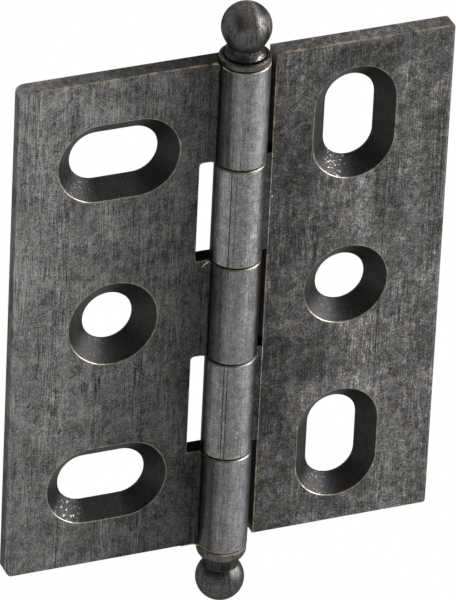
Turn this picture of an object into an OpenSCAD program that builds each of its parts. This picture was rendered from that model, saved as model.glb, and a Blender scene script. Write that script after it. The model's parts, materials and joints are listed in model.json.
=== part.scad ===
// Decorative butt hinge with ball tips, opened flat. All sizes are in millimetres.
// X runs from the fixed left leaf to the moving right leaf, Y from the front faces to the back, Z up the pin.
// The origin is the centre of the left leaf's middle screw hole, in the plane of the back faces.

/* [Leaves] */
// Height of the leaves and of the barrel of five knuckles
leaf_height = 50; // [44:1:76]
// From the pin's axis to the outer edge of the left leaf
left_reach = 20.5; // [18.5:0.1:32]
// From the pin's axis to the outer edge of the right leaf
right_reach = 20; // [18.5:0.1:32]
// Thickness of both leaves
leaf_thickness = 1.7; // [1.4:0.1:2.4]
// How far the front faces lie behind the pin's axis, so that the closed leaves stay apart
face_setback = 0.2; // [0.1:0.05:0.4]
// Radius of the left leaf's outer corners
left_corner = 0.8; // [0.4:0.1:2]
// Radius of the right leaf's outer corners
right_corner = 0.5; // [0.4:0.1:2]
// Rounding of the outer edge, on the front
front_rounding = 0.5; // [0.2:0.05:0.8]
// Rounding of the outer edge, on the back
back_rounding = 0.2; // [0.1:0.05:0.5]
// Bevel along the top and bottom edges, on the front
edge_bevel = 0.12; // [0.05:0.01:0.3]

/* [Barrel] */
// Diameter of the pin
pin_diameter = 2.3; // [1.8:0.1:3]
// Radial clearance between the pin and the knuckles that turn on it
running_clearance = 0.05; // [0.02:0.01:0.08]
// Radial clearance drawn where the pin is pressed in and cannot turn
grip_clearance = 0.01; // [0.005:0.005:0.02]
// Wall of the knuckles around the pin
knuckle_wall = 1.1; // [0.9:0.05:1.6]
// Bevel round the ends of the knuckles
knuckle_bevel = 0.12; // [0.05:0.01:0.25]
// Gap between knuckles that turn against each other, and under the top tip
joint_gap = 0.12; // [0.08:0.01:0.3]
// Radius of the fillet between a front face and the barrel
web_fillet = 0.6; // [0.3:0.05:1]
// Step down from the right leaf's front face to the webs of its knuckles
right_web_step = 0.12; // [0.05:0.01:0.25]
// Gap between the fillet's foot and the edge of the left leaf's cut-outs
left_notch_gap = 0.83; // [0.2:0.01:1.5]
// Gap between the fillet's foot and the edge of the right leaf's cut-outs
right_notch_gap = 0.2; // [0.15:0.01:1]
// Radius in the corners of the left leaf's cut-outs
cut_out_corner = 0.35; // [0.1:0.05:0.6]

/* [Screw holes] */
// Diameter of the round holes and width of the slots
hole_diameter = 4.7; // [3.5:0.1:5.5]
// Distance between the centres of a slot's round ends
slot_travel = 3.55; // [1:0.05:5]
// Width of the slots' countersinks at the front face
slot_sink_diameter = 7.75; // [6.5:0.05:9]
// Diameter of the left leaf's middle countersink
left_sink_diameter = 8.35; // [6.5:0.05:9]
// Diameter of the right leaf's middle countersink
right_sink_diameter = 7.95; // [6.5:0.05:9]
// Straight land left between a countersink and the back face
hole_land = 0.2; // [0.1:0.05:0.6]
// From the pin's axis to the left leaf's column of holes
left_hole_offset = 11.2; // [10.5:0.1:11.8]
// From the pin's axis to the right leaf's column of holes
right_hole_offset = 10.8; // [9:0.1:12]
// From the top or bottom of a leaf to the nearest slot's centre
slot_inset = 8.3; // [7.8:0.1:8.8]

/* [Tips] */
// Diameter of the pin's two turned-down ends, which the tips are pressed on
spigot_diameter = 1.4; // [1:0.1:1.8]
// Length of each turned-down end
spigot_length = 2.4; // [1.6:0.1:2.8]
// Space left past each turned-down end, inside the tip
spigot_space = 0.15; // [0.05:0.05:0.3]
// Diameter of the top tip's ball
top_ball_diameter = 4.48; // [4:0.02:4.7]
// From the top tip's seat to the centre of its ball
top_ball_height = 3.28; // [3.2:0.02:3.8]
// Diameter of the top tip's collar
top_collar_diameter = 4.6; // [4.4:0.05:5]
// Height of the top tip's collar
top_collar_height = 0.6; // [0.5:0.02:0.7]
// Bevel round the upper edge of the top tip's collar
collar_bevel = 0.16; // [0.05:0.01:0.2]
// Diameter of the bell that stands on the top tip's collar
bell_diameter = 3.7; // [3.5:0.05:3.8]
// Height of the bell above the collar
bell_height = 0.85; // [0.75:0.01:0.9]
// Width of the groove between the bell and the collar's rim
groove_width = 0.12; // [0.06:0.01:0.14]
// Depth of the groove below the collar's upper face
groove_depth = 0.1; // [0.05:0.01:0.2]
// Diameter of the neck between the bell and the ball
top_neck_diameter = 3.2; // [3:0.05:3.3]
// Radius of the cove that hollows the bell up to the neck
cove_radius = 1.3; // [0.8:0.05:1.5]
// Diameter of the bottom tip's ball
bottom_ball_diameter = 4.44; // [4:0.02:4.8]
// From the bottom tip's seat to the centre of its ball
bottom_ball_height = 3.78; // [3.5:0.02:4.2]
// Diameter of the bottom tip's domed collar
bottom_collar_diameter = 4.54; // [4.2:0.02:4.8]
// Height of the straight rim of the bottom tip's collar
bottom_collar_rim = 0.5; // [0.3:0.05:0.8]
// Radius of the dome that closes the bottom tip's collar
dome_radius = 1; // [0.6:0.05:1.2]
// Diameter of the neck between the dome and the bottom ball
bottom_neck_diameter = 3.3; // [2.8:0.05:3.5]

/* [Hidden] */
$fn = 96;
// Overrun of a cut past the face it starts from
overrun = 0.1;
half_height = leaf_height / 2;
face_back = face_setback + leaf_thickness;
pin_radius = pin_diameter / 2;
knuckle_radius = pin_radius + running_clearance + knuckle_wall;
knuckle_count = 5;
knuckle_pitch = leaf_height / knuckle_count;
left_knuckles = [0, 2, 4];
right_knuckles = [1, 3];
left_notch = fillet_foot(0) + left_notch_gap;
right_notch = fillet_foot(right_web_step) + right_notch_gap;
slot_height = half_height - slot_inset;
spigot_radius = spigot_diameter / 2;
top_seat = half_height + joint_gap;

// Height of a fillet's centre behind the pin's axis, for a web whose face is cut down by a step
function fillet_rise(step) = face_setback + step - web_fillet;

// Distance from the pin's axis to the foot of the fillet on that face
function fillet_foot(step) = sqrt(pow(knuckle_radius + web_fillet, 2) - pow(fillet_rise(step), 2));

// Lower and upper end of a knuckle, counted from the bottom, with half a joint gap at each inner end
function knuckle_bottom(index) = index * knuckle_pitch - half_height + (index > 0 ? joint_gap / 2 : 0);
function knuckle_top(index) = (index + 1) * knuckle_pitch - half_height
    - (index < knuckle_count - 1 ? joint_gap / 2 : 0);

// Moves the hinge from the pin's axis to the origin, at the left leaf's middle hole
module placed() {
    translate([left_hole_offset, -face_back, 0]) children();
}

// Extrudes an outline drawn in X and Z through the leaf's thickness
module through_leaf() {
    translate([0, face_back, 0]) rotate([90, 0, 0]) linear_extrude(leaf_thickness) children();
}

// Extrudes an outline drawn in Y and Z along X, from one distance to another
module along_x(start, end) {
    translate([start, 0, 0]) rotate([90, 0, 90]) linear_extrude(end - start) children();
}

// What is cut off a square corner to leave it round, drawn from the centre of the rounding
module corner_waste(radius) {
    difference() {
        square(radius + overrun);
        circle(radius);
    }
}

// The leaf's front view, from its cut-out edge to its outer edge with two round corners
module face_outline(reach, notch, corner) {
    difference() {
        translate([notch, -half_height]) square([reach - notch, leaf_height]);
        translate([reach - corner, half_height - corner]) corner_waste(corner);
        translate([reach - corner, corner - half_height]) rotate(-90) corner_waste(corner);
    }
}

// The leaf's section seen along the pin, with its outer edge rounded on the front and the back
module plan_outline(reach, notch) {
    difference() {
        translate([notch, face_setback]) square([reach - notch, leaf_thickness]);
        translate([reach - front_rounding, face_setback + front_rounding]) rotate(-90)
            corner_waste(front_rounding);
        translate([reach - back_rounding, face_back - back_rounding]) corner_waste(back_rounding);
    }
}

// The leaf's section seen along X, with the front edges bevelled at the top and bottom
module side_outline() {
    polygon([
        [face_setback + edge_bevel, -half_height],
        [face_back, -half_height],
        [face_back, half_height],
        [face_setback + edge_bevel, half_height],
        [face_setback, half_height - edge_bevel],
        [face_setback, edge_bevel - half_height]
    ]);
}

// The flat part of a leaf that reaches out along +X
module leaf_plate(reach, notch, corner) {
    intersection() {
        through_leaf() face_outline(reach, notch, corner);
        translate([0, 0, -half_height]) linear_extrude(leaf_height) plan_outline(reach, notch);
        along_x(notch, reach) side_outline();
    }
}

// The section that joins a knuckle to the flat part, with a fillet up to the barrel on the front
module web_outline(notch, step) {
    foot = fillet_foot(step);
    difference() {
        polygon([
            [0, 0],
            [foot, fillet_rise(step)],
            [foot, face_setback + step],
            [notch + overrun, face_setback + step],
            [notch + overrun, face_back],
            [0, face_back]
        ]);
        translate([foot, fillet_rise(step)]) circle(web_fillet);
    }
}

// A solid of revolution about the pin's axis with both ends bevelled
module bevelled_drum(radius, bottom, top, bevel) {
    rotate_extrude() polygon([
        [0, bottom],
        [radius - bevel, bottom],
        [radius, bottom + bevel],
        [radius, top - bevel],
        [radius - bevel, top],
        [0, top]
    ]);
}

// One knuckle with the web that joins it to the leaf
module knuckle(index, notch, step) {
    bottom = knuckle_bottom(index);
    top = knuckle_top(index);
    bevelled_drum(knuckle_radius, bottom, top, knuckle_bevel);
    translate([0, 0, bottom]) linear_extrude(top - bottom) web_outline(notch, step);
}

// The material in one round corner of a cut-out, drawn upwards from the end of the web below it
module corner_fill(notch, radius) {
    through_leaf() translate([notch - radius, 0]) difference() {
        translate([0, -overrun]) square(radius + overrun);
        translate([0, radius]) circle(radius);
    }
}

// Both round corners of the cut-out that the other leaf's knuckle of this index turns in
module cut_out_corners(index, notch, radius) {
    translate([0, 0, knuckle_top(index - 1)]) corner_fill(notch, radius);
    translate([0, 0, knuckle_bottom(index + 1)]) mirror([0, 0, 1]) corner_fill(notch, radius);
}

// A leaf that reaches out along +X, before its holes are cut
module leaf_body(reach, notch, corner, step, knuckles, bore_radius) {
    difference() {
        union() {
            leaf_plate(reach, notch, corner);
            for (index = knuckles) knuckle(index, notch, step);
        }
        translate([0, 0, -half_height - overrun])
            cylinder(h = leaf_height + 2 * overrun, r = bore_radius);
    }
}

// A countersunk hole, drawn down +Z from the front face at zero
module sunk_round(sink_diameter) {
    depth = leaf_thickness - hole_land;
    flare = (sink_diameter - hole_diameter) / 2 / depth;
    translate([0, 0, -overrun])
        cylinder(h = depth + overrun, r1 = sink_diameter / 2 + flare * overrun, r2 = hole_diameter / 2);
    cylinder(h = leaf_thickness + overrun, r = hole_diameter / 2);
}

// A countersunk slot, drawn down +Z from the front face at zero and long in X
module sunk_slot() {
    depth = leaf_thickness - hole_land;
    half_width = hole_diameter / 2;
    flare = (slot_sink_diameter / 2 - half_width) / depth;
    rim = slot_sink_diameter / 2 + flare * overrun;
    for (side = [-1, 1]) translate([side * slot_travel / 2, 0, 0]) sunk_round(slot_sink_diameter);
    along_x(-slot_travel / 2, slot_travel / 2) polygon([
        [-rim, -overrun],
        [rim, -overrun],
        [half_width, depth],
        [half_width, leaf_thickness + overrun],
        [-half_width, leaf_thickness + overrun],
        [-half_width, depth]
    ]);
}

// Sets a hole into the leaf at a distance from the pin and a height
module at_hole(offset, height) {
    translate([offset, face_setback, height]) rotate([-90, 0, 0]) children();
}

// The fixed leaf: three knuckles, two slots across the leaf and a round hole between them
module leaf_left() {
    color("#5d5c5a") placed() mirror([1, 0, 0]) difference() {
        union() {
            leaf_body(left_reach, left_notch, left_corner, 0, left_knuckles, pin_radius + grip_clearance);
            for (index = right_knuckles) cut_out_corners(index, left_notch, cut_out_corner);
        }
        at_hole(left_hole_offset, 0) sunk_round(left_sink_diameter);
        for (side = [-1, 1]) at_hole(left_hole_offset, side * slot_height) sunk_slot();
    }
}

// The moving leaf: two knuckles, two slots along the pin and a round hole between them
module leaf_right() {
    color("#656361") placed() difference() {
        leaf_body(right_reach, right_notch, right_corner, right_web_step, right_knuckles,
            pin_radius + running_clearance);
        at_hole(right_hole_offset, 0) sunk_round(right_sink_diameter);
        for (side = [-1, 1]) at_hole(right_hole_offset, side * slot_height) rotate(90) sunk_slot();
    }
}

// The pin: its full length is one gap longer than the barrel, which holds the top tip off the knuckle
module pin() {
    color("#8a8683") placed() {
        translate([0, 0, -half_height]) cylinder(h = leaf_height + joint_gap, r = pin_radius);
        translate([0, 0, -half_height - spigot_length])
            cylinder(h = leaf_height + joint_gap + 2 * spigot_length, r = spigot_radius);
    }
}

// The ball end of a tip in half section, round on a centre up its axis
module half_ball(radius, height) {
    intersection() {
        translate([0, height]) circle(radius);
        translate([0, height - radius]) square([radius, 2 * radius]);
    }
}

// The blind bore that takes one of the pin's turned-down ends, in half section
module spigot_bore() {
    translate([0, -overrun])
        square([spigot_radius + grip_clearance, spigot_length + spigot_space + overrun]);
}

// The bell, hollowed by a cove up to the neck, and the skirt that runs from the neck into the ball
module top_neck() {
    neck_radius = top_neck_diameter / 2;
    ball_radius = top_ball_diameter / 2;
    cove_top = top_collar_height + bell_height;
    drop = top_ball_height - cove_top;
    slant = max(ball_radius, norm([neck_radius, drop]));
    touch = acos(ball_radius / slant) - atan2(drop, neck_radius);
    difference() {
        square([bell_diameter / 2, cove_top]);
        translate([neck_radius + cove_radius, cove_top]) circle(cove_radius);
    }
    polygon([
        [0, cove_top],
        [neck_radius, cove_top],
        [ball_radius * cos(touch), top_ball_height + ball_radius * sin(touch)],
        [0, top_ball_height]
    ]);
}

// The top tip: a grooved collar, a bell and a ball, turned in one piece
module tip_top() {
    collar_radius = top_collar_diameter / 2;
    color("#6b6966") placed() translate([0, 0, top_seat]) rotate_extrude() difference() {
        union() {
            polygon([
                [0, 0],
                [collar_radius, 0],
                [collar_radius, top_collar_height - collar_bevel],
                [collar_radius - collar_bevel, top_collar_height],
                [bell_diameter / 2 + groove_width, top_collar_height],
                [bell_diameter / 2, top_collar_height - groove_depth],
                [0, top_collar_height - groove_depth]
            ]);
            top_neck();
            half_ball(top_ball_diameter / 2, top_ball_height);
        }
        spigot_bore();
    }
}

// The bottom tip: a domed collar, a neck and a ball, turned in one piece and hung upside down
module tip_bottom() {
    collar_radius = bottom_collar_diameter / 2;
    color("#6b6966") placed() translate([0, 0, -half_height]) mirror([0, 0, 1]) rotate_extrude() difference() {
        union() {
            square([collar_radius, bottom_collar_rim]);
            square([collar_radius - dome_radius, bottom_collar_rim + dome_radius]);
            translate([collar_radius - dome_radius, bottom_collar_rim]) intersection() {
                circle(dome_radius);
                square(dome_radius);
            }
            square([bottom_neck_diameter / 2, bottom_ball_height]);
            half_ball(bottom_ball_diameter / 2, bottom_ball_height);
        }
        spigot_bore();
    }
}

leaf_left();
leaf_right();
pin();
tip_top();
tip_bottom();
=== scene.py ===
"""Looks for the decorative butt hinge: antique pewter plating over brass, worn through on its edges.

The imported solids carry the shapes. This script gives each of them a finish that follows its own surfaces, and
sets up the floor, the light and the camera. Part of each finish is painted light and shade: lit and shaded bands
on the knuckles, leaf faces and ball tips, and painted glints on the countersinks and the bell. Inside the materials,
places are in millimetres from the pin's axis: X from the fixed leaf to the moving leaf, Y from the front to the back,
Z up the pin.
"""

import json
import logging
import math
from collections.abc import Mapping, Sequence
from dataclasses import dataclass
from enum import Enum
from typing import ClassVar

import bpy
import numpy as np
from mathutils import Matrix, Vector

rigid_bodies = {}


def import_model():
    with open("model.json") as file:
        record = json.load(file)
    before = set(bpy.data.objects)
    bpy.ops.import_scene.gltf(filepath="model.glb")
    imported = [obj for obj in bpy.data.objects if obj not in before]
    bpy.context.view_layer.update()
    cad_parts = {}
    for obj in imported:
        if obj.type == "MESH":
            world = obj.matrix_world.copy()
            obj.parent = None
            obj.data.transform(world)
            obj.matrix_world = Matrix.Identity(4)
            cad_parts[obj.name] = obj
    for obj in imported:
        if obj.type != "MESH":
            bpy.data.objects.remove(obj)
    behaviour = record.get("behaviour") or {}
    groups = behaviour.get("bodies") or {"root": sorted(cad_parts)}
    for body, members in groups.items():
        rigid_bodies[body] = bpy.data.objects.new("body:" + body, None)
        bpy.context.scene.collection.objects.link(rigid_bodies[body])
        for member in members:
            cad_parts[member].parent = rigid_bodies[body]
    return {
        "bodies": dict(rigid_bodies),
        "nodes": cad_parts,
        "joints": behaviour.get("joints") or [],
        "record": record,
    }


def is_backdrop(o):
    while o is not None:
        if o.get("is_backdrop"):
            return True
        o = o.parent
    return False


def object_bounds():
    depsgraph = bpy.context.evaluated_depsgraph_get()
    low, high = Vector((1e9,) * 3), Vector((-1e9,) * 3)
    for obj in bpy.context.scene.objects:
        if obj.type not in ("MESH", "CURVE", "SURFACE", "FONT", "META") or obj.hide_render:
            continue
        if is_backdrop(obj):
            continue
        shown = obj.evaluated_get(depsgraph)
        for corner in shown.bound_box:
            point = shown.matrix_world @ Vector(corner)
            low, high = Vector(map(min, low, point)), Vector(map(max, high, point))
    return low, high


LOG = logging.getLogger("hinge")
Colour = tuple[float, float, float]

MM = 0.001
PIN_AXIS = (11.2, -1.9)
LEAF_HALF_HEIGHT = 25.0
FRONT_FACE = 0.2
BACK_FACE = 1.9
EDGE_BEVEL = 0.12
KNUCKLE_RADIUS = 2.3
KNUCKLE_PITCH = 10.0
BRASS = (0.5, 0.42, 0.285)
# Pale brass: the deepest wear, and painted highlights on the countersink lips.
PALE_BRASS = (0.85, 0.79, 0.66)
COOL_CAST = (0.982, 1.0, 1.043)
WARM_CAST = (1.04, 1.0, 0.945)


class Side(Enum):
    """Which way a leaf reaches from the pin, as the sign of X."""

    FIXED = -1.0
    MOVING = 1.0


class Field:
    """A number or vector that varies over the surface: a node's output that adds and multiplies as numbers do."""

    def __init__(self, socket: bpy.types.NodeSocket) -> None:
        """Wraps one output socket."""
        self.socket = socket
        self.tree: bpy.types.ShaderNodeTree = socket.id_data

    def math(self, operation: str, *others: "Field | float", clamp: bool = False) -> "Field":
        """Puts this value and the others through a Math node.

        Args:
            operation: The Math node's operation.
            others: The second and third inputs, fields or plain numbers.
            clamp: Whether the result is held between 0 and 1.

        Returns:
            The node's result.
        """
        node = self.tree.nodes.new("ShaderNodeMath")
        node.operation = operation
        node.use_clamp = clamp
        for socket, value in zip(node.inputs, (self, *others)):
            feed(socket, value)
        return Field(node.outputs[0])

    def __add__(self, other: "Field | float") -> "Field":
        """Sum."""
        return self.math("ADD", other)

    def __sub__(self, other: "Field | float") -> "Field":
        """Difference."""
        return self.math("SUBTRACT", other)

    def __rsub__(self, other: float) -> "Field":
        """A plain number less this value."""
        return self.math("MULTIPLY_ADD", -1.0, other)

    def __mul__(self, other: "Field | float") -> "Field":
        """Product."""
        return self.math("MULTIPLY", other)

    def __truediv__(self, other: "Field | float") -> "Field":
        """Quotient."""
        return self.math("DIVIDE", other)

    __radd__ = __add__
    __rmul__ = __mul__

    def at_least(self, other: "Field | float") -> "Field":
        """The greater of the two."""
        return self.math("MAXIMUM", other)

    def held(self) -> "Field":
        """The value held between 0 and 1."""
        return self.math("ADD", 0.0, clamp=True)

    def size(self) -> "Field":
        """The value without its sign."""
        return self.math("ABSOLUTE")

    def step(self, low: "Field | float", high: "Field | float") -> "Field":
        """A soft step from 0 at low to 1 at high; with low above high it falls instead."""
        return self._map("SMOOTHSTEP", low, high)

    def ramp(self, low: float, high: float) -> "Field":
        """A straight ramp from 0 at low to 1 at high, held at both ends."""
        return self._map("LINEAR", low, high)

    def _map(self, kind: str, low: "Field | float", high: "Field | float") -> "Field":
        """Maps the stretch from low to high on 0 to 1.

        Args:
            kind: The Map Range node's interpolation.
            low: Where the result is 0.
            high: Where the result is 1.

        Returns:
            The mapped value.
        """
        node = self.tree.nodes.new("ShaderNodeMapRange")
        node.interpolation_type = kind
        feed(node.inputs["Value"], self)
        feed(node.inputs["From Min"], low)
        feed(node.inputs["From Max"], high)
        return Field(node.outputs["Result"])

    def parts(self) -> "tuple[Field, Field, Field]":
        """The X, Y and Z of a vector."""
        node = self.tree.nodes.new("ShaderNodeSeparateXYZ")
        feed(node.inputs[0], self)
        return Field(node.outputs[0]), Field(node.outputs[1]), Field(node.outputs[2])

    def stretched(self, x: float, y: float, z: float) -> "Field":
        """A vector with each part multiplied."""
        node = self.tree.nodes.new("ShaderNodeVectorMath")
        node.operation = "MULTIPLY"
        feed(node.inputs[0], self)
        node.inputs[1].default_value = (x, y, z)
        return Field(node.outputs[0])

    def noise(self, scale: float, detail: float = 2.0, distortion: float = 0.0) -> "Field":
        """Fractal noise at this place, around zero.

        Args:
            scale: Features per millimetre.
            detail: Number of finer layers.
            distortion: How far the pattern is pulled about.

        Returns:
            Noise between about -0.5 and 0.5.
        """
        node = self.tree.nodes.new("ShaderNodeTexNoise")
        feed(node.inputs["Vector"], self)
        node.inputs["Scale"].default_value = scale
        node.inputs["Detail"].default_value = detail
        node.inputs["Roughness"].default_value = 0.6
        node.inputs["Distortion"].default_value = distortion
        return Field(node.outputs["Fac"]) - 0.5


def feed(socket: bpy.types.NodeSocket, value: "Field | float | Sequence[float]") -> None:
    """Links a field to a socket, or sets the socket to a plain value."""
    if isinstance(value, Field):
        value.tree.links.new(value.socket, socket)
    else:
        socket.default_value = value


def length(a: Field, b: Field) -> Field:
    """Distance from zero of a point in a plane: the root of the sum of both squares."""
    return (a * a + b * b).math("SQRT")


def greatest(fields: Sequence[Field]) -> Field:
    """The greatest of several fields at each point."""
    result = fields[0]
    for field in fields[1:]:
        result = result.at_least(field)
    return result


def total(fields: Sequence[Field]) -> Field:
    """The sum of several fields at each point."""
    return sum(fields[1:], start=fields[0])


def blend(factor: Field, first: "Field | Colour", second: "Field | Colour") -> Field:
    """Goes from the first colour to the second as the factor goes from 0 to 1."""
    node = factor.tree.nodes.new("ShaderNodeMix")
    node.data_type = "RGBA"
    feed(node.inputs["Factor"], factor)
    for socket, value in ((node.inputs[6], first), (node.inputs[7], second)):
        feed(socket, value if isinstance(value, Field) else (*value, 1.0))
    return Field(node.outputs[2])


def toned(colour: "Field | Colour", stops: Field) -> Field:
    """Makes a colour lighter or darker: each stop doubles or halves it."""
    power = stops.tree.nodes.new("ShaderNodeMath")
    power.operation = "POWER"
    power.inputs[0].default_value = 2.0
    feed(power.inputs[1], stops)
    scaled = stops.tree.nodes.new("ShaderNodeVectorMath")
    scaled.operation = "SCALE"
    feed(scaled.inputs[0], colour)
    feed(scaled.inputs["Scale"], Field(power.outputs[0]))
    return Field(scaled.outputs[0])


class Effect:
    """A node group that several materials share. It is built once and placed in each with its own values."""

    name: ClassVar[str]
    inputs: ClassVar[dict[str, float]]

    @classmethod
    def build(cls, place: Field, given: Mapping[str, Field]) -> dict[str, Field]:
        """Works out the outputs by name from the place and the other inputs."""
        raise NotImplementedError

    @classmethod
    def group(cls) -> bpy.types.ShaderNodeTree:
        """The effect's node group, built on its first use."""
        known = bpy.data.node_groups.get(cls.name)
        if known is not None:
            return known
        group = bpy.data.node_groups.new(cls.name, "ShaderNodeTree")
        group.interface.new_socket("Place", in_out="INPUT", socket_type="NodeSocketVector")
        for label, value in cls.inputs.items():
            socket = group.interface.new_socket(label, in_out="INPUT", socket_type="NodeSocketFloat")
            socket.default_value = value
        source = group.nodes.new("NodeGroupInput")
        given = {label: Field(source.outputs[label]) for label in cls.inputs}
        results = cls.build(Field(source.outputs["Place"]), given)
        for label in results:
            group.interface.new_socket(label, in_out="OUTPUT", socket_type="NodeSocketFloat")
        sink = group.nodes.new("NodeGroupOutput")
        for label, result in results.items():
            feed(sink.inputs[label], result)
        return group

    @classmethod
    def use(cls, place: Field, values: Mapping[str, float] | None = None) -> dict[str, Field]:
        """Places the group in the material that the place belongs to.

        Args:
            place: The place in millimetres from the pin's axis.
            values: This use's own values, by input name.

        Returns:
            The group's outputs by name.
        """
        node = place.tree.nodes.new("ShaderNodeGroup")
        node.node_tree = cls.group()
        feed(node.inputs["Place"], place)
        for label, value in (values or {}).items():
            feed(node.inputs[label], value)
        return {socket.name: Field(socket) for socket in node.outputs}


class Mottling(Effect):
    """Blotches of the antique finish: clouds, mottles and fine speckle in stops of tone, and a warm or cool cast."""

    name = "mottling"
    inputs = {"Cloud": 1.0, "Mottle": 1.0, "Speckle": 1.0}

    @classmethod
    def build(cls, place: Field, given: Mapping[str, Field]) -> dict[str, Field]:
        """Three layers of noise, at about 5 mm, 0.6 mm and 0.12 mm, and a fourth for the cast."""
        cloud = place.noise(0.28, detail=4.0, distortion=0.6)
        mottle = place.noise(1.4, detail=4.0, distortion=0.6)
        speckle = place.noise(8.5, detail=1.0)
        stops = given["Cloud"] * cloud + given["Mottle"] * mottle + given["Speckle"] * speckle
        warmth = place.noise(1.3, detail=4.0).step(-0.2, 0.2)
        return {"Stops": stops, "Height": mottle * 0.5 + speckle, "Warmth": warmth}


class BrushedGrain(Effect):
    """Fine drawn lines along the pin's direction, in bands where the grain shows more."""

    name = "brushed_grain"
    inputs = {"Amount": 1.0}

    @classmethod
    def build(cls, place: Field, given: Mapping[str, Field]) -> dict[str, Field]:
        """Noise stretched into columns: 0.12 mm and 0.4 mm across, and many times longer."""
        fine = place.stretched(1.0, 1.0, 0.04).noise(10.0, detail=1.0)
        coarse = place.stretched(1.0, 1.0, 0.04).noise(2.6, detail=1.0)
        band = place.stretched(1.0, 1.0, 0.25).noise(0.45, detail=1.0).step(-0.12, 0.15)
        streaks = (fine * 1.3 + coarse * 0.5) * (band * 0.7 + 0.3)
        return {"Stops": streaks * given["Amount"], "Height": streaks}


class Countersink(Effect):
    """The lip and the cut wall of one screw hole, round or slotted, seen from the front, with masks for a painted
    highlight on the wall's upper left and painted glints on its lower left.
    """

    name = "countersink"
    inputs = {"Centre X": 0.0, "Centre Z": 0.0, "Half X": 0.0, "Half Z": 0.0, "Rim Radius": 4.0, "Lip": 0.085,
              "Sparkle": 1.0}

    @classmethod
    def build(cls, place: Field, given: Mapping[str, Field]) -> dict[str, Field]:
        """Distance from the hole's middle line, which is a point or a short line: near the rim radius is the lip."""
        x, y, z = place.parts()
        dx, dz = x - given["Centre X"], z - given["Centre Z"]
        across = (dx.size() - given["Half X"]).at_least(0.0)
        along = (dz.size() - given["Half Z"]).at_least(0.0)
        radius = length(across, along)
        off_rim = (radius - given["Rim Radius"] + place.noise(1.6, detail=1.0) * 0.06).size()
        lip = off_rim.step(given["Lip"], given["Lip"] * 0.3) * y.step(FRONT_FACE + 0.16, FRONT_FACE + 0.02)
        wall = radius.step(given["Rim Radius"], given["Rim Radius"] - 0.06) * y.step(BACK_FACE, BACK_FACE - 0.03)
        rings = (radius * 38.0 + place.noise(0.8, detail=1.0) * 6.0).math("SINE")
        east, north = across * dx.math("SIGN") / radius, along * dz.math("SIGN") / radius
        # Lower left of the hole, where painted highlights go.
        lower_left = (east * -0.5 - north * 0.87).step(0.84, 1.0)
        # Upper left of the wall: painted highlight.
        upper_left = (north * 0.71 - east * 0.71).step(0.3, 0.95)
        # Painted glints on the lower left of the wall.
        sparks = wall * lower_left * place.noise(4.0, detail=2.0).step(0.06, 0.2) * given["Sparkle"]
        return {"Lip": lip, "Wall": wall, "Rings": rings * wall, "Pale": upper_left * wall,
                "Lower Left": lower_left, "Sparks": sparks}


class Score(Effect):
    """One drawn scratch, dark line, blotch, painted highlight or painted shade on a front face: a straight mark with
    soft ends.
    """

    name = "score"
    inputs = {"X": 0.0, "Z": 0.0, "Lean": 0.0, "Half Length": 1.0, "Half Width": 0.1}

    @classmethod
    def build(cls, place: Field, given: Mapping[str, Field]) -> dict[str, Field]:
        """The place is turned by the lean, then the mark fades past its half width and its half length."""
        x, _, z = place.parts()
        dx, dz = x - given["X"], z - given["Z"]
        cosine, sine = given["Lean"].math("COSINE"), given["Lean"].math("SINE")
        off = (dx * cosine - dz * sine).size()
        along = (dx * sine + dz * cosine).size()
        mark = off.step(given["Half Width"], given["Half Width"] * 0.4)
        return {"Mark": mark * along.step(given["Half Length"], given["Half Length"] * 0.6)}


@dataclass(frozen=True)
class Hole:
    """One countersunk hole: centre, half its slot's travel each way and rim's radius, and how strong the painted
    glints on its wall are.
    """

    x: float
    z: float
    half_x: float
    half_z: float
    rim: float
    sparkle: float

    def on(self, place: Field) -> dict[str, Field]:
        """The hole's own masks at the place."""
        return Countersink.use(place, {"Centre X": self.x, "Centre Z": self.z, "Half X": self.half_x,
                                       "Half Z": self.half_z, "Rim Radius": self.rim, "Sparkle": self.sparkle})


@dataclass(frozen=True)
class Mark:
    """One score, blotch, painted highlight or painted shade on a leaf's or a tip's front: middle, lean from the
    vertical in degrees, length, width and stops of tone.
    """

    x: float
    z: float
    lean: float
    length: float
    width: float
    stops: float

    def on(self, place: Field) -> Field:
        """The mark's tone at the place, in stops."""
        score = Score.use(place, {"X": self.x, "Z": self.z, "Lean": math.radians(self.lean),
                                  "Half Length": self.length / 2, "Half Width": self.width / 2})
        return score["Mark"] * self.stops


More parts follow.
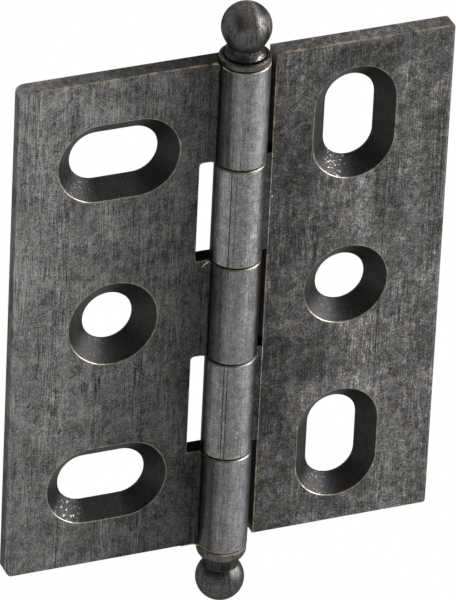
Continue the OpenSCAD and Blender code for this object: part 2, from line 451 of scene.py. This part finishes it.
@dataclass(frozen=True)
class Plating:
    """Antique pewter plating over brass, for one piece."""

    name: str
    pewter: Colour
    roughness: float = 0.4
    cloud: float = 1.0
    mottle: float = 3.0
    speckle: float = 4.0
    grain: float = 3.4
    darkening: float = 0.2
    edge_tint: float = 0.42

    def start(self) -> "tuple[bpy.types.Material, Field]":
        """Makes the material and the place in millimetres from the pin's axis.

        Returns:
            The material, and the vector to build its patterns on.
        """
        material = bpy.data.materials.new(self.name)
        material.use_nodes = True
        tree = material.node_tree
        coordinates = tree.nodes.new("ShaderNodeTexCoord")
        mapping = tree.nodes.new("ShaderNodeMapping")
        mapping.inputs["Scale"].default_value = (1 / MM, 1 / MM, 1 / MM)
        mapping.inputs["Location"].default_value = (-PIN_AXIS[0], -PIN_AXIS[1], 0.0)
        tree.links.new(coordinates.outputs["Object"], mapping.inputs["Vector"])
        return material, Field(mapping.outputs["Vector"])

    def texture(self, place: Field, smooth: "Field | float" = 0.0) -> tuple[Field, Field, Field]:
        """The mottled and streaked texture.

        Args:
            place: The place in millimetres from the pin's axis.
            smooth: 1 where handling has polished the mottles and streaks down, and the cast is cool.

        Returns:
            Its tone in stops, its relief in millimetres, and the pewter with its warm and cool patches.
        """
        mottling = Mottling.use(place, {"Cloud": self.cloud, "Mottle": self.mottle, "Speckle": self.speckle})
        grain = BrushedGrain.use(place, {"Amount": self.grain})
        even = mottling["Stops"] * (smooth * -0.4 + 1.0) + grain["Stops"] * (smooth * -0.45 + 1.0)
        stops = even - even * even * self.darkening
        cool, warm = [tuple(part * cast for part, cast in zip(self.pewter, casts)) for casts in (COOL_CAST, WARM_CAST)]
        return stops, mottling["Height"] * 0.012 + grain["Height"] * 0.01, blend(mottling["Warmth"] * (smooth * -0.75 + 1.0), cool, warm)

    def finish(self, material: bpy.types.Material, colour: Field, roughness: Field, height: Field) -> None:
        """Joins the worked out colour, roughness and relief to the material's shader.

        Args:
            material: The material from start.
            colour: Base colour.
            roughness: Roughness.
            height: Relief in millimetres.
        """
        tree = material.node_tree
        shader = tree.nodes["Principled BSDF"]
        shader.inputs["Metallic"].default_value = 1.0
        shader.inputs["Specular Tint"].default_value = (self.edge_tint, self.edge_tint, self.edge_tint, 1.0)
        feed(shader.inputs["Base Color"], colour)
        feed(shader.inputs["Roughness"], roughness)
        bump = tree.nodes.new("ShaderNodeBump")
        bump.inputs["Distance"].default_value = MM
        feed(bump.inputs["Height"], height)
        tree.links.new(bump.outputs["Normal"], shader.inputs["Normal"])


@dataclass(frozen=True)
class Spot:
    """A point on a leaf, as the leaf's patterns need it: distances in millimetres, and masks from 0 to 1."""

    x: Field
    y: Field
    z: Field
    out: Field
    radius: Field
    joint: Field
    barrel: Field
    front: Field
    between: Field
    ragged: Field

    @classmethod
    def at(cls, place: Field, side: Side) -> "Spot":
        """Works the distances and masks out.

        Args:
            place: The place in millimetres from the pin's axis.
            side: Which way the leaf reaches.

        Returns:
            The spot: out is the distance towards the leaf's outer edge, joint the distance from the nearest joint
            between knuckles, barrel 1 on the knuckles, front 1 within a bevel of the front face, between 1 where
            the leaf reaches between knuckles of the other leaf, and ragged is noise that breaks lines up.
        """
        x, y, z = place.parts()
        out = x * side.value
        radius = length(x, y)
        joint = ((z / KNUCKLE_PITCH).math("FRACT") - 0.5).size() * KNUCKLE_PITCH
        barrel = radius.step(KNUCKLE_RADIUS + 0.06, KNUCKLE_RADIUS + 0.02) * out.step(2.4, 2.34)
        front = y.step(FRONT_FACE + EDGE_BEVEL + 0.06, FRONT_FACE + EDGE_BEVEL - 0.04)
        near_second = (z.size() - KNUCKLE_PITCH).size().step(KNUCKLE_PITCH / 2 - 0.02, KNUCKLE_PITCH / 2 - 0.08)
        between = near_second if side is Side.MOVING else 1.0 - near_second
        return cls(x, y, z, out, radius, joint, barrel, front, between, place.noise(1.4, detail=2.0))


@dataclass(frozen=True)
class Leaf:
    """One leaf with its knuckles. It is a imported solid, dressed here. Tones are in stops."""

    node: str
    plating: Plating
    side: Side
    reach: float
    notch: float
    holes: tuple[Hole, ...]
    marks: tuple[Mark, ...]
    root_shade_stops: float
    root_power: float
    root_reach: float
    lift: float
    top_light_stops: float
    end_shade_stops: float
    barrel_stops: float
    patina_and_shade_stops: float
    web_shade_stops: float
    web_line_highlight_stops: float
    slit_wear: float
    corner_wear: float
    wall: Colour = (0.028, 0.0275, 0.027)

    def dress(self, frame: Mapping) -> None:
        """Gives the leaf its plating."""
        material, place = self.plating.start()
        spot = Spot.at(place, self.side)
        texture, relief, pewter = self.plating.texture(place, spot.barrel)
        stops = texture + self.plate_tone(spot) * (1.0 - spot.barrel) + self.barrel_tone(spot) * spot.barrel
        stops = stops + total([mark.on(place) for mark in self.marks])

        cuts = [hole.on(place) for hole in self.holes]
        # Worn brass on the countersink lips, with a painted highlight on their lower left.
        lips = greatest([cut["Lip"] * (0.19 + cut["Lower Left"] * 0.15) for cut in cuts])
        walls, rings, pale, sparks = [greatest([cut[label] for cut in cuts])
                                      for label in ("Wall", "Rings", "Pale", "Sparks")]

        worn = self.worn_edges(spot).at_least(lips * (1.0 + spot.ragged * 2.4)).held()
        # Cut walls: machining rings, a painted highlight on the upper left and painted glints on the lower left.
        cut_tone = texture * 0.3 + rings * 0.35 + pale * 1.5 + sparks * 3.0
        colour = blend(walls, toned(pewter, stops), toned(self.wall, cut_tone))
        # Pale brass where the wear is deepest, and on the lips as a painted highlight, strongest on their lower left.
        colour = blend(worn, colour, blend(worn.step(0.6, 1.1).at_least(lips * 2.5), BRASS, PALE_BRASS))
        roughness = self.plating.roughness + texture * 0.02 - worn * 0.08 + walls * 0.05
        self.plating.finish(material, colour, roughness, relief * (1.0 - walls * 0.5) + rings * 0.002)
        frame["nodes"][self.node].material_slots[0].material = material
        LOG.info("%s dressed with %d holes and %d marks", self.node, len(self.holes), len(self.marks))

    def plate_tone(self, spot: Spot) -> Field:
        """Tone of the flat plate, its edges and its webs, much of it painted light: painted shade towards the
        knuckles, on the end face, on the webs and, with dark patina, in the slits beside the knuckles; painted light
        and shade on the top face; painted highlights on the rounded outer end and on the web's line at the front.

        Args:
            spot: The point.

        Returns:
            Stops to add to the plating's own tone.
        """
        # Darker towards the knuckles: painted shade.
        away = spot.out.ramp(3.0, self.root_reach).math("POWER", self.root_power)
        # Top face near the knuckles: painted shade on the fixed leaf, a painted highlight on the moving leaf.
        top = spot.z.step(LEAF_HALF_HEIGHT - 0.03, LEAF_HALF_HEIGHT - 0.01)
        # End face: painted shade.
        end = spot.out.step(self.reach - 0.03, self.reach - 0.01) * spot.y.step(FRONT_FACE + 0.3, FRONT_FACE + 0.5)
        # Rounded outer end: painted highlight.
        rounding_highlight = spot.out.step(self.reach - 0.45, self.reach - 0.15) * (1.0 - end)
        # Web between the knuckles: painted shade.
        web = spot.between * spot.out.step(self.notch - 0.02, self.notch - 0.06)
        # Slit walls and joint feet beside the knuckles, made black: painted shade and dark patina.
        side = (spot.out - self.notch).size().step(0.04, 0.02) * (1.0 - spot.between)
        foot = spot.joint.step(0.1, 0.07) * spot.out.step(self.notch + 0.06, self.notch + 0.02)
        inner = spot.z.size().step(LEAF_HALF_HEIGHT - 0.2, LEAF_HALF_HEIGHT - 1.2)
        recess = side.at_least(foot) * spot.y.step(FRONT_FACE + 0.03, FRONT_FACE + 0.1) * inner
        # Line where the web meets the front: painted highlight.
        web_line_highlight = (spot.out - self.notch).size().step(0.09, 0.04) * spot.between * spot.front
        return ((away - 1.0) * self.root_shade_stops + spot.z * self.lift
                + top * spot.out.step(20.0, 14.0) * self.top_light_stops + end * self.end_shade_stops + rounding_highlight * 0.35
                + web * self.web_shade_stops + web_line_highlight * self.web_line_highlight_stops - recess * 3.0)

    def barrel_tone(self, spot: Spot) -> Field:
        """Tone of the knuckles: dark patina and painted shade on the leaf's side, a painted highlight right of the
        middle with painted shade at the right edge, a painted highlight on the far left flank with painted shade on
        its back half, black in the joints.
        """
        # Dark patina and painted shade on the side of the knuckle towards its own leaf.
        patina_and_shade = (spot.out + spot.ragged * 0.35).step(1.62, 1.78) * 0.65 + spot.out.step(1.15, 1.7) * 0.35
        # Painted highlight right of the middle; painted shade at the right edge, weaker above Z 15.
        sheen_and_shade = spot.x.step(-0.7, 0.8) * 0.7 - spot.x.step(0.85, 2.0) * (1.6 - spot.z.step(14.9, 15.1))
        # Painted highlight on the far left flank; painted shade on the back half of the left side.
        flank = spot.x.step(-1.6, -2.15) * 1.6 - spot.x.step(0.0, -1.0) * spot.y.step(-0.45, -0.1) * 3.0
        tight = spot.z.step(-6.0, -5.5) * spot.z.step(-4.0, -4.5)
        groove = spot.joint.step(0.06, 0.03) * (3.0 - tight * 2.4)
        return patina_and_shade * self.patina_and_shade_stops + sheen_and_shade + flank + self.barrel_stops - groove

    def worn_edges(self, spot: Spot) -> Field:
        """Where handling has worn the plating through to brass: the front arrises and the ends of the knuckles.

        Args:
            spot: The point.

        Returns:
            Up to 1 where brass shows.
        """
        ends = spot.z.size().step(LEAF_HALF_HEIGHT - EDGE_BEVEL - 0.03, LEAF_HALF_HEIGHT - EDGE_BEVEL + 0.03)
        arris = spot.front * ends * (1.0 - spot.barrel) * (0.3 + spot.ragged * 1.6)
        edge = spot.out.step(self.reach - 0.1, self.reach - 0.04) * spot.front * (0.35 + spot.ragged)
        slit = (spot.out - self.notch).size().step(0.09, 0.04) * spot.front * (1.0 - spot.between)
        ring = (spot.joint - EDGE_BEVEL).size().step(0.06, 0.03) * spot.barrel
        joint = ring * (0.4 + spot.ragged * 1.4 + spot.x.ramp(-0.5, 2.0) * (spot.z.step(20.0, 21.0) * 0.85 - 0.25))
        joint = joint * (1.0 - spot.z.step(-6.0, -5.5) * spot.z.step(-4.0, -4.5) * 0.4)
        upper_end = spot.z.step(23.0, 24.6)
        slit = slit * (self.slit_wear + spot.ragged * 0.9) * (1.0 - upper_end)
        corner = spot.out.step(self.notch + 1.4, self.notch + 0.2) * upper_end * (1.0 - spot.barrel)
        ledge = (spot.joint.step(0.16, 0.1) * spot.front * spot.out.step(self.notch + 0.1, self.notch)
                 * spot.out.step(KNUCKLE_RADIUS, KNUCKLE_RADIUS + 0.1) * (0.12 + spot.ragged * 0.4))
        return greatest([arris, edge, slit, joint, ledge, corner * self.corner_wear])


@dataclass(frozen=True)
class Tip:
    """One ball tip of the pin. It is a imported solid, dressed here."""

    node: str
    plating: Plating
    joint: float
    joint_wear: float
    wear_from: float
    bell: tuple[float, float]
    bell_stops: float
    crinkle_glints: float
    marks: tuple[Mark, ...]

    def dress(self, frame: Mapping) -> None:
        """Gives the tip its darker plating, with streaks that run from pole to pole, a bell darkened by dark patina
        and painted shade, and painted glints on the crinkled front right of the bell.
        """
        material, place = self.plating.start()
        x, y, z = place.parts()
        stops, relief, pewter = self.plating.texture(place)
        stops = stops + total([mark.on(place) for mark in self.marks])
        # Darker band at the bell and neck: dark patina in the hollow, and painted shade under the ball on the top tip
        # and across the ball's top under the collar on the bottom tip.
        bell = z.step(self.bell[0], self.bell[0] + 0.15) * z.step(self.bell[1] + 0.3, self.bell[1] - 0.2)
        # Painted glints on the crinkled front right of the bell.
        crinkle_glint = (bell * x.step(-0.6, -0.1) * y.step(0.0, -0.6) * place.noise(4.0, detail=2.0).step(0.0, 0.14)
                   * self.crinkle_glints)
        ragged = place.noise(1.8, detail=2.0) * 4.0 + 1.0
        worn = ((z - self.joint).size().step(0.2, 0.08) * length(x, y).step(1.9, 2.1)
                * x.step(self.wear_from, self.wear_from + 1.2) * ragged * self.joint_wear).held()
        colour = blend(worn, toned(pewter, stops + bell * self.bell_stops + crinkle_glint * 2.3), BRASS)
        self.plating.finish(material, colour, self.plating.roughness - crinkle_glint * 0.1, relief * 0.6)
        frame["nodes"][self.node].material_slots[0].material = material
        LOG.info("%s dressed", self.node)


@dataclass(frozen=True)
class Pin:
    """The steel pin inside the barrel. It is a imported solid, dressed here."""

    node: str
    plating: Plating

    def dress(self, frame: Mapping) -> None:
        """Gives the pin a drawn steel finish."""
        material, place = self.plating.start()
        texture, relief, steel = self.plating.texture(place)
        colour = toned(steel, texture)
        self.plating.finish(material, colour, self.plating.roughness + texture * 0.02, relief * 0.4)
        frame["nodes"][self.node].material_slots[0].material = material
        LOG.info("%s dressed", self.node)


@dataclass(frozen=True)
class Softbox:
    """A square lamp that faces the hinge."""

    name: str
    towards: tuple[float, float, float]
    distance: float
    width: float
    height: float
    radiance: float

    def build(self, centre: Vector) -> None:
        """Hangs the lamp. Its power is pi times its radiance times its area."""
        lamp = bpy.data.lights.new(self.name, "AREA")
        lamp.shape = "RECTANGLE"
        lamp.size, lamp.size_y = self.width, self.height
        lamp.energy = self.radiance * math.pi * self.width * self.height
        holder = bpy.data.objects.new(self.name, lamp)
        direction = Vector(self.towards).normalized()
        holder.location = centre + direction * self.distance
        holder.rotation_euler = direction.to_track_quat("Z", "Y").to_euler()
        bpy.context.scene.collection.objects.link(holder)


@dataclass(frozen=True)
class Studio:
    """The pale floor, the dome of light and the lamps."""

    floor_drop: float = 0.075
    floor_radius: float = 1.6
    shadow_reach: tuple[float, float] = (0.07, 0.12)
    floor_colour: Colour = (0.82, 0.82, 0.82)
    shade_towards: tuple[float, float, float] = (-0.45, -0.55, 0.7)
    shade_edge: tuple[float, float] = (0.5, 0.85)
    shade_depth: float = 0.76
    lamps: tuple[Softbox, ...] = (
        Softbox("key_softbox", (0.9, -0.33, 0.24), 0.45, 0.32, 0.34, 9.0),
    )

    def build(self, low: Vector, high: Vector) -> None:
        """Lays the floor below the hinge, hangs the lamps round its centre and lights the dome."""
        centre = (low + high) / 2
        self.floor(Vector((centre.x, centre.y, low.z - self.floor_drop)))
        for lamp in self.lamps:
            lamp.build(centre)
        self.dome()
        LOG.info("studio built with %d lamps", len(self.lamps))

    def floor(self, middle: Vector) -> None:
        """A round floor: one face inside a ring of points.

        Args:
            middle: The floor's centre.
        """
        turn = np.linspace(0.0, 2 * math.pi, 96, endpoint=False)
        rim = np.stack([middle.x + self.floor_radius * np.cos(turn),
                        middle.y + self.floor_radius * np.sin(turn), np.full_like(turn, middle.z)], axis=1)
        mesh = bpy.data.meshes.new("floor")
        mesh.from_pydata(rim.tolist(), [], [tuple(range(len(rim)))])
        floor = bpy.data.objects.new("floor", mesh)
        bpy.context.scene.collection.objects.link(floor)
        mesh.materials.append(self.floor_paper(middle))
        floor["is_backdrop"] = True

    def floor_paper(self, middle: Vector) -> bpy.types.Material:
        """Pale paper that keeps the hinge's shadow near it and is plain white further out.

        Args:
            middle: The floor's centre.

        Returns:
            The material.
        """
        material = bpy.data.materials.new("floor_paper")
        material.use_nodes = True
        tree = material.node_tree
        paper = tree.nodes["Principled BSDF"]
        paper.inputs["Base Color"].default_value = (*self.floor_colour, 1.0)
        paper.inputs["Roughness"].default_value = 0.9
        white = tree.nodes.new("ShaderNodeEmission")
        coordinates = tree.nodes.new("ShaderNodeTexCoord")
        x, y, _ = Field(coordinates.outputs["Object"]).parts()
        far = length(x - middle.x, y - middle.y).step(*self.shadow_reach)
        mix = tree.nodes.new("ShaderNodeMixShader")
        feed(mix.inputs[0], far * seen_directly(tree))
        tree.links.new(paper.outputs[0], mix.inputs[1])
        tree.links.new(white.outputs[0], mix.inputs[2])
        tree.links.new(mix.outputs[0], tree.nodes["Material Output"].inputs["Surface"])
        return material

    def dome(self) -> None:
        """White all round, with one soft grey patch: how near a direction is to its middle is their dot product."""
        world = bpy.data.worlds.new("studio_dome")
        world.use_nodes = True
        tree = world.node_tree
        coordinates = tree.nodes.new("ShaderNodeTexCoord")
        nearness = tree.nodes.new("ShaderNodeVectorMath")
        nearness.operation = "DOT_PRODUCT"
        tree.links.new(coordinates.outputs["Generated"], nearness.inputs[0])
        nearness.inputs[1].default_value = Vector(self.shade_towards).normalized()
        shade = Field(nearness.outputs["Value"]).step(*self.shade_edge)
        background = tree.nodes["Background"]
        feed(background.inputs["Strength"], 1.0 - shade * self.shade_depth)
        background.inputs["Color"].default_value = (1.0, 1.0, 1.0, 1.0)
        bpy.context.scene.world = world


def seen_directly(tree: bpy.types.ShaderNodeTree) -> Field:
    """1 for what the camera sees straight, in a gloss or through glass, and 0 for scattered light."""
    path = tree.nodes.new("ShaderNodeLightPath")
    straight = Field(path.outputs["Is Camera Ray"]).at_least(Field(path.outputs["Is Glossy Ray"]))
    return straight.at_least(Field(path.outputs["Is Transmission Ray"]))


@dataclass(frozen=True)
class Viewpoint:
    """The camera, where it looks at the hinge from the photograph's angle. Angles are in degrees."""

    target: tuple[float, float, float] = (0.010707, -0.0019, 0.000574)
    azimuth: float = -22.7
    elevation: float = 32.1
    roll: float = 2.81
    distance: float = 0.73
    focal_pixels: float = 8297.0
    long_side_pixels: float = 600.0
    sensor: float = 36.0

    def build(self) -> None:
        """Makes the camera, turned about its own axis by the roll."""
        turn, rise = math.radians(self.azimuth), math.radians(self.elevation)
        back = Vector((math.sin(turn) * math.cos(rise), -math.cos(turn) * math.cos(rise), math.sin(rise)))
        right = Vector((math.cos(turn), math.sin(turn), 0.0))
        up = back.cross(right)
        facing = Matrix((right, up, back)).transposed() @ Matrix.Rotation(math.radians(self.roll), 3, "Z")
        lens = bpy.data.cameras.new("camera")
        lens.sensor_width = self.sensor
        lens.lens = self.sensor * self.focal_pixels / self.long_side_pixels
        lens.clip_start, lens.clip_end = 0.01, 10.0
        camera = bpy.data.objects.new("camera", lens)
        camera.matrix_world = Matrix.Translation(Vector(self.target) + back * self.distance) @ facing.to_4x4()
        bpy.context.scene.collection.objects.link(camera)
        bpy.context.scene.camera = camera
        LOG.info("camera at azimuth %.1f, elevation %.1f", self.azimuth, self.elevation)


LEFT_LEAF = Leaf(
    node="leaf_left",
    plating=Plating("pewter_leaf_left", (0.138, 0.137, 0.134), cloud=2.8, mottle=3.0,
                    speckle=4.5, grain=3.8),
    side=Side.FIXED, reach=20.5, notch=3.7,
    holes=(Hole(-11.2, 16.7, 1.775, 0.0, 3.875, 0.6), Hole(-11.2, 0.0, 0.0, 0.0, 4.175, 0.3),
           Hole(-11.2, -16.7, 1.775, 0.0, 3.875, 1.3)),
    marks=(Mark(-2.75, 4.6, 46.0, 1.0, 0.11, 3.8), Mark(-15.9, -10.4, 35.0, 0.7, 0.3, -1.8),
           Mark(-9.67, 8.3, 0.0, 12.0, 0.1, -1.1), Mark(-9.0, -8.6, 0.0, 9.0, 0.1, -1.1),
           Mark(-6.6, -7.8, 0.0, 6.0, 0.1, -0.9), Mark(-14.5, 8.0, 0.0, 8.0, 0.09, -0.8),
           Mark(-18.3, 10.3, 0.0, 9.0, 0.09, -0.8), Mark(-18.1, -2.6, 0.0, 5.0, 0.09, -0.8),
           Mark(-18.86, -7.1, 20.0, 0.5, 0.22, -1.6),
           Mark(-2.9, -16.4, 30.0, 0.5, 0.18, -1.4), Mark(-11.4, 8.6, 0.0, 6.8, 0.1, -0.7),
           Mark(-14.3, 12.0, 0.0, 6.0, 4.0, -0.35), Mark(-16.6, -8.0, 0.0, 8.0, 3.0, 0.35),
           # Knuckle marks: painted shade on the lit right half of the middle knuckle, darker patches on the bottom
           # knuckle, and lighter lines along the left edge of the top and middle knuckles.
           Mark(0.78, 0.0, 0.0, 14.0, 1.0, -0.35), Mark(1.85, 0.0, 0.0, 14.0, 0.9, -0.8),
           Mark(0.9, -20.0, 0.0, 14.0, 1.3, -0.3), Mark(-1.8, -20.0, 0.0, 14.0, 1.2, -0.3),
           Mark(-2.2, 20.0, 0.0, 14.0, 0.2, 0.35), Mark(-2.2, 0.0, 0.0, 14.0, 0.2, 0.35)),
    root_shade_stops=2.2, root_power=0.6, root_reach=16.0, lift=0.012, top_light_stops=-0.75, end_shade_stops=-0.4,
    barrel_stops=0.2, patina_and_shade_stops=-2.0, web_shade_stops=0.0, web_line_highlight_stops=0.0, slit_wear=0.1, corner_wear=0.0,
)
RIGHT_LEAF = Leaf(
    node="leaf_right",
    plating=Plating("pewter_leaf_right", (0.111, 0.109, 0.106), cloud=1.9, mottle=4.0, speckle=5.0, grain=3.4,
                    darkening=0.0),
    side=Side.MOVING, reach=20.0, notch=3.09,
    holes=(Hole(10.8, 16.7, 0.0, 1.775, 3.875, 1.1), Hole(10.8, 0.0, 0.0, 0.0, 3.975, 0.3),
           Hole(10.8, -16.7, 0.0, 1.775, 3.875, 0.7)),
    marks=(Mark(14.05, 0.5, 0.0, 49.0, 0.12, -1.3), Mark(15.0, 18.5, 0.0, 9.0, 0.08, -0.8),
           Mark(18.4, 11.5, 0.0, 14.0, 0.08, -0.9), Mark(18.9, 11.0, 0.0, 14.0, 0.08, -0.9),
           Mark(19.3, 12.0, 0.0, 13.0, 0.08, -0.9), Mark(13.2, 9.8, 0.0, 5.0, 0.3, -0.7),
           Mark(13.5, -8.6, 0.0, 6.0, 0.1, -0.9), Mark(16.9, 17.2, 20.0, 0.3, 0.2, -1.8),
           Mark(15.65, -9.8, 20.0, 0.3, 0.2, -1.8), Mark(3.28, 10.45, 0.0, 0.25, 0.2, 2.5),
           Mark(5.5, -20.9, 60.0, 0.5, 0.15, 0.9), Mark(-1.43, 10.0, 0.0, 14.0, 0.11, -2.4),
           Mark(-1.05, 10.0, 0.0, 12.0, 0.1, -0.9), Mark(-1.31, -10.0, 0.0, 14.0, 0.11, -2.2),
           Mark(-1.04, -10.0, 0.0, 14.0, 0.1, -1.8), Mark(11.6, 21.8, 0.0, 7.0, 8.0, -0.8),
           Mark(14.3, 9.5, 0.0, 13.0, 3.6, -0.4), Mark(18.6, 10.0, 0.0, 16.0, 3.4, -0.35),
           Mark(4.2, -9.5, 0.0, 13.0, 3.8, -0.45), Mark(5.8, 12.2, 0.0, 7.0, 5.0, -0.35),
           Mark(11.5, -22.0, 0.0, 6.0, 7.0, -0.35), Mark(10.5, -12.0, 0.0, 6.0, 10.0, 0.5),
           Mark(11.3, 9.5, 0.0, 11.0, 4.4, 0.35), Mark(4.6, 22.0, 0.0, 7.0, 4.0, 0.4),
           Mark(18.8, 22.0, 0.0, 7.0, 4.0, -0.35), Mark(16.8, -12.3, 90.0, 10.0, 5.0, 0.25),
           Mark(8.0, -7.2, 0.0, 6.0, 6.0, -0.3), Mark(16.7, -6.1, 0.0, 0.3, 0.2, -1.6),
           Mark(9.2, 4.0, -30.0, 0.6, 0.1, 1.8), Mark(8.8, 3.7, -50.0, 0.6, 0.1, 1.5), Mark(9.6, 4.3, 10.0, 0.4, 0.1, 1.5),
           Mark(7.3, -23.6, 45.0, 0.4, 0.2, -1.6), Mark(-2.3, 10.0, 0.0, 14.0, 0.24, -0.5),
           Mark(-2.3, -10.0, 0.0, 14.0, 0.24, -0.6), Mark(-1.97, -10.0, 0.0, 14.0, 0.5, -0.35),
           Mark(-1.58, 10.0, 0.0, 14.0, 0.6, 0.3)),
    root_shade_stops=0.9, root_power=1.0, root_reach=12.0, lift=0.0, top_light_stops=0.35, end_shade_stops=-0.5,
    barrel_stops=0.5, patina_and_shade_stops=0.0, web_shade_stops=-0.4, web_line_highlight_stops=2.2, slit_wear=0.25, corner_wear=0.05,
)
TOP_TIP = Tip(
    node="tip_top",
    plating=Plating("pewter_tip_top", (0.082, 0.079, 0.0765), roughness=0.43, cloud=1.2, mottle=1.4, speckle=1.8,
                    grain=3.0),
    joint=25.2, joint_wear=0.45, wear_from=0.6, bell=(25.6, 26.5), bell_stops=-1.2, crinkle_glints=1.0,
    # Ball marks: a dark streak, a painted highlight left of the lamp's own and painted shade over the lamp's own,
    # painted light on the middle and top, and painted shade at the upper left.
    marks=(Mark(-1.2, 29.8, 0.0, 1.8, 0.5, -0.35), Mark(0.04, 29.1, 0.0, 3.2, 0.3, -0.8),
           Mark(0.45, 29.6, 0.0, 2.8, 0.4, 0.8), Mark(1.1, 29.5, 0.0, 4.4, 0.8, -0.9),
           Mark(-0.73, 29.5, 0.0, 2.2, 1.3, 0.5), Mark(0.3, 30.3, 0.0, 1.8, 1.8, 0.4)),
)
BOTTOM_TIP = Tip(
    node="tip_bottom",
    plating=Plating("pewter_tip_bottom", (0.064, 0.062, 0.06), roughness=0.42, cloud=1.2, mottle=2.2, speckle=3.5,
                    grain=3.0),
    joint=-25.12, joint_wear=0.4, wear_from=-1.4, bell=(-27.3, -26.2), bell_stops=-0.45, crinkle_glints=0.0,
    # Ball and collar marks: dark streaks, painted shade across the ball's top under the collar, a painted highlight
    # streak, and lighter patches on the ball's upper right and on the collar.
    marks=(Mark(-1.3, -27.1, 90.0, 4.0, 1.5, -0.9), Mark(0.1, -27.8, 0.0, 3.6, 0.25, -0.8),
           Mark(0.75, -27.6, 4.0, 3.2, 0.22, -0.6), Mark(0.42, -27.4, 8.0, 2.4, 0.22, 0.5),
           Mark(0.9, -26.9, 0.0, 1.6, 1.0, 0.3), Mark(-0.35, -28.0, 0.0, 3.4, 0.25, -0.4),
           Mark(0.4, -25.6, 90.0, 6.0, 1.0, 0.6)),
)
PIN = Pin("pin", Plating("drawn_steel", (0.3, 0.29, 0.28), roughness=0.35, cloud=0.2, mottle=0.3, speckle=0.5,
                         grain=1.0))


def main() -> None:
    """Loads the solids, dresses them and sets up the studio and the camera."""
    logging.basicConfig(level=logging.INFO, format="%(name)s: %(message)s")
    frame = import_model()
    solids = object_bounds()
    bpy.context.scene.view_settings.view_transform = "Standard"
    for piece in (LEFT_LEAF, RIGHT_LEAF, PIN, TOP_TIP, BOTTOM_TIP):
        piece.dress(frame)
    Studio().build(*solids)
    Viewpoint().build()


if __name__ == "__main__":
    main()
